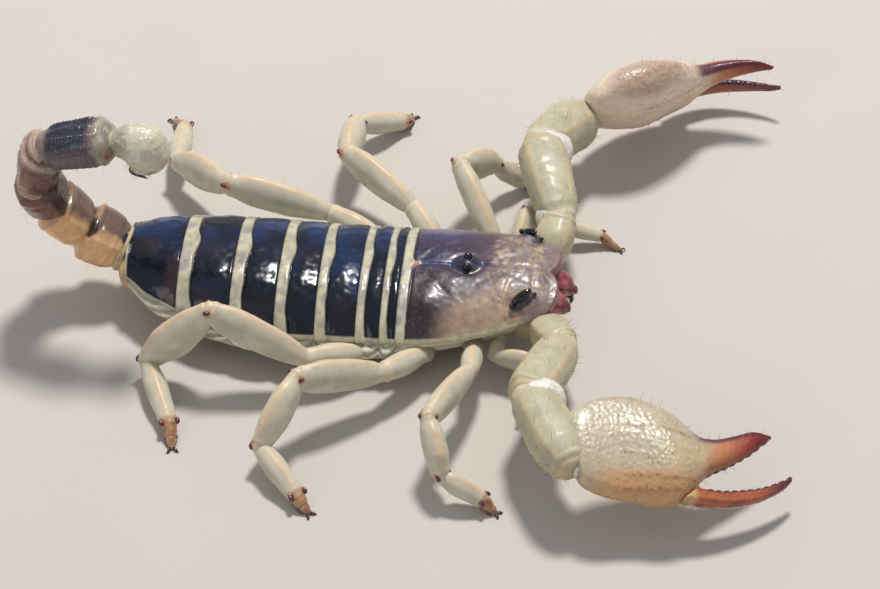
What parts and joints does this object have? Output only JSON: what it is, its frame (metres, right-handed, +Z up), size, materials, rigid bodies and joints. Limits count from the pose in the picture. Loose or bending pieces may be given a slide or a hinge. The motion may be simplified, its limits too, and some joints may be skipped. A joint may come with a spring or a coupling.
{
  "type": "burrowing scorpion",
  "caption": "Life-size still burrowing scorpion standing on its feet, pincers held out in front, tail arched up over its rear with the sting hanging behind the back plates.",
  "frame": {"origin": "bottom centre of the bounding box, on the floor under the trunk", "axes": "+X the way the animal faces, +Y its left side, +Z up from the floor"},
  "size_m": [0.077, 0.0626, 0.0246],
  "materials": {
    "soft_body": "soft pale membrane and belly plates",
    "carapace": "glossy purple-brown cuticle, marbled grey and tan in front, cream at the margin",
    "jaw": "red-pink waxy cuticle",
    "eye": "wet black lens",
    "leg": "waxy translucent cream cuticle with orange-brown tips",
    "tail": "mauve-brown ridged cuticle with orange-tan sides",
    "pedipalp_arm": "waxy translucent cream cuticle",
    "hand": "pebbled beige cuticle, red-brown towards the fingers",
    "finger": "dark red-brown cuticle",
    "sting": "dark red-brown horn",
    "venom_bulb": "pale green-cream glossy cuticle",
    "back_plate": "glossy dark navy cuticle with a pale rear band on each plate"
  },
  "bodies": {
    "root": {"abdomen": "soft_body", "carapace": "carapace", "chelicera_left": "jaw", "chelicera_right": "jaw", "lateral_eyes_left": "eye", "lateral_eyes_right": "eye", "leg_left_1_femur": "leg", "leg_left_1_foot": "leg", "leg_left_1_patella": "leg", "leg_left_2_femur": "leg", "leg_left_2_foot": "leg", "leg_left_2_patella": "leg", "leg_left_3_femur": "leg", "leg_left_3_foot": "leg", "leg_left_3_patella": "leg", "leg_left_4_femur": "leg", "leg_left_4_foot": "leg", "leg_left_4_patella": "leg", "leg_right_1_femur": "leg", "leg_right_1_foot": "leg", "leg_right_1_patella": "leg", "leg_right_2_femur": "leg", "leg_right_2_foot": "leg", "leg_right_2_patella": "leg", "leg_right_3_femur": "leg", "leg_right_3_foot": "leg", "leg_right_3_patella": "leg", "leg_right_4_femur": "leg", "leg_right_4_foot": "leg", "leg_right_4_patella": "leg", "median_eye_left": "eye", "median_eye_right": "eye", "metasoma_1": "tail", "metasoma_2": "tail", "metasoma_3": "tail", "metasoma_4": "tail", "metasoma_5": "tail", "pectine_left": "soft_body", "pectine_right": "soft_body", "pedipalp_left_femur": "pedipalp_arm", "pedipalp_left_hand": "hand", "pedipalp_left_movable_finger": "finger", "pedipalp_left_patella": "pedipalp_arm", "pedipalp_left_trochanter": "pedipalp_arm", "pedipalp_right_femur": "pedipalp_arm", "pedipalp_right_hand": "hand", "pedipalp_right_movable_finger": "finger", "pedipalp_right_patella": "pedipalp_arm", "pedipalp_right_trochanter": "pedipalp_arm", "prosoma_underside": "soft_body", "telson_aculeus": "sting", "telson_vesicle": "venom_bulb", "tergite_1": "back_plate", "tergite_2": "back_plate", "tergite_3": "back_plate", "tergite_4": "back_plate", "tergite_5": "back_plate", "tergite_6": "back_plate", "tergite_7": "back_plate"}
  },
  "joints": []
}
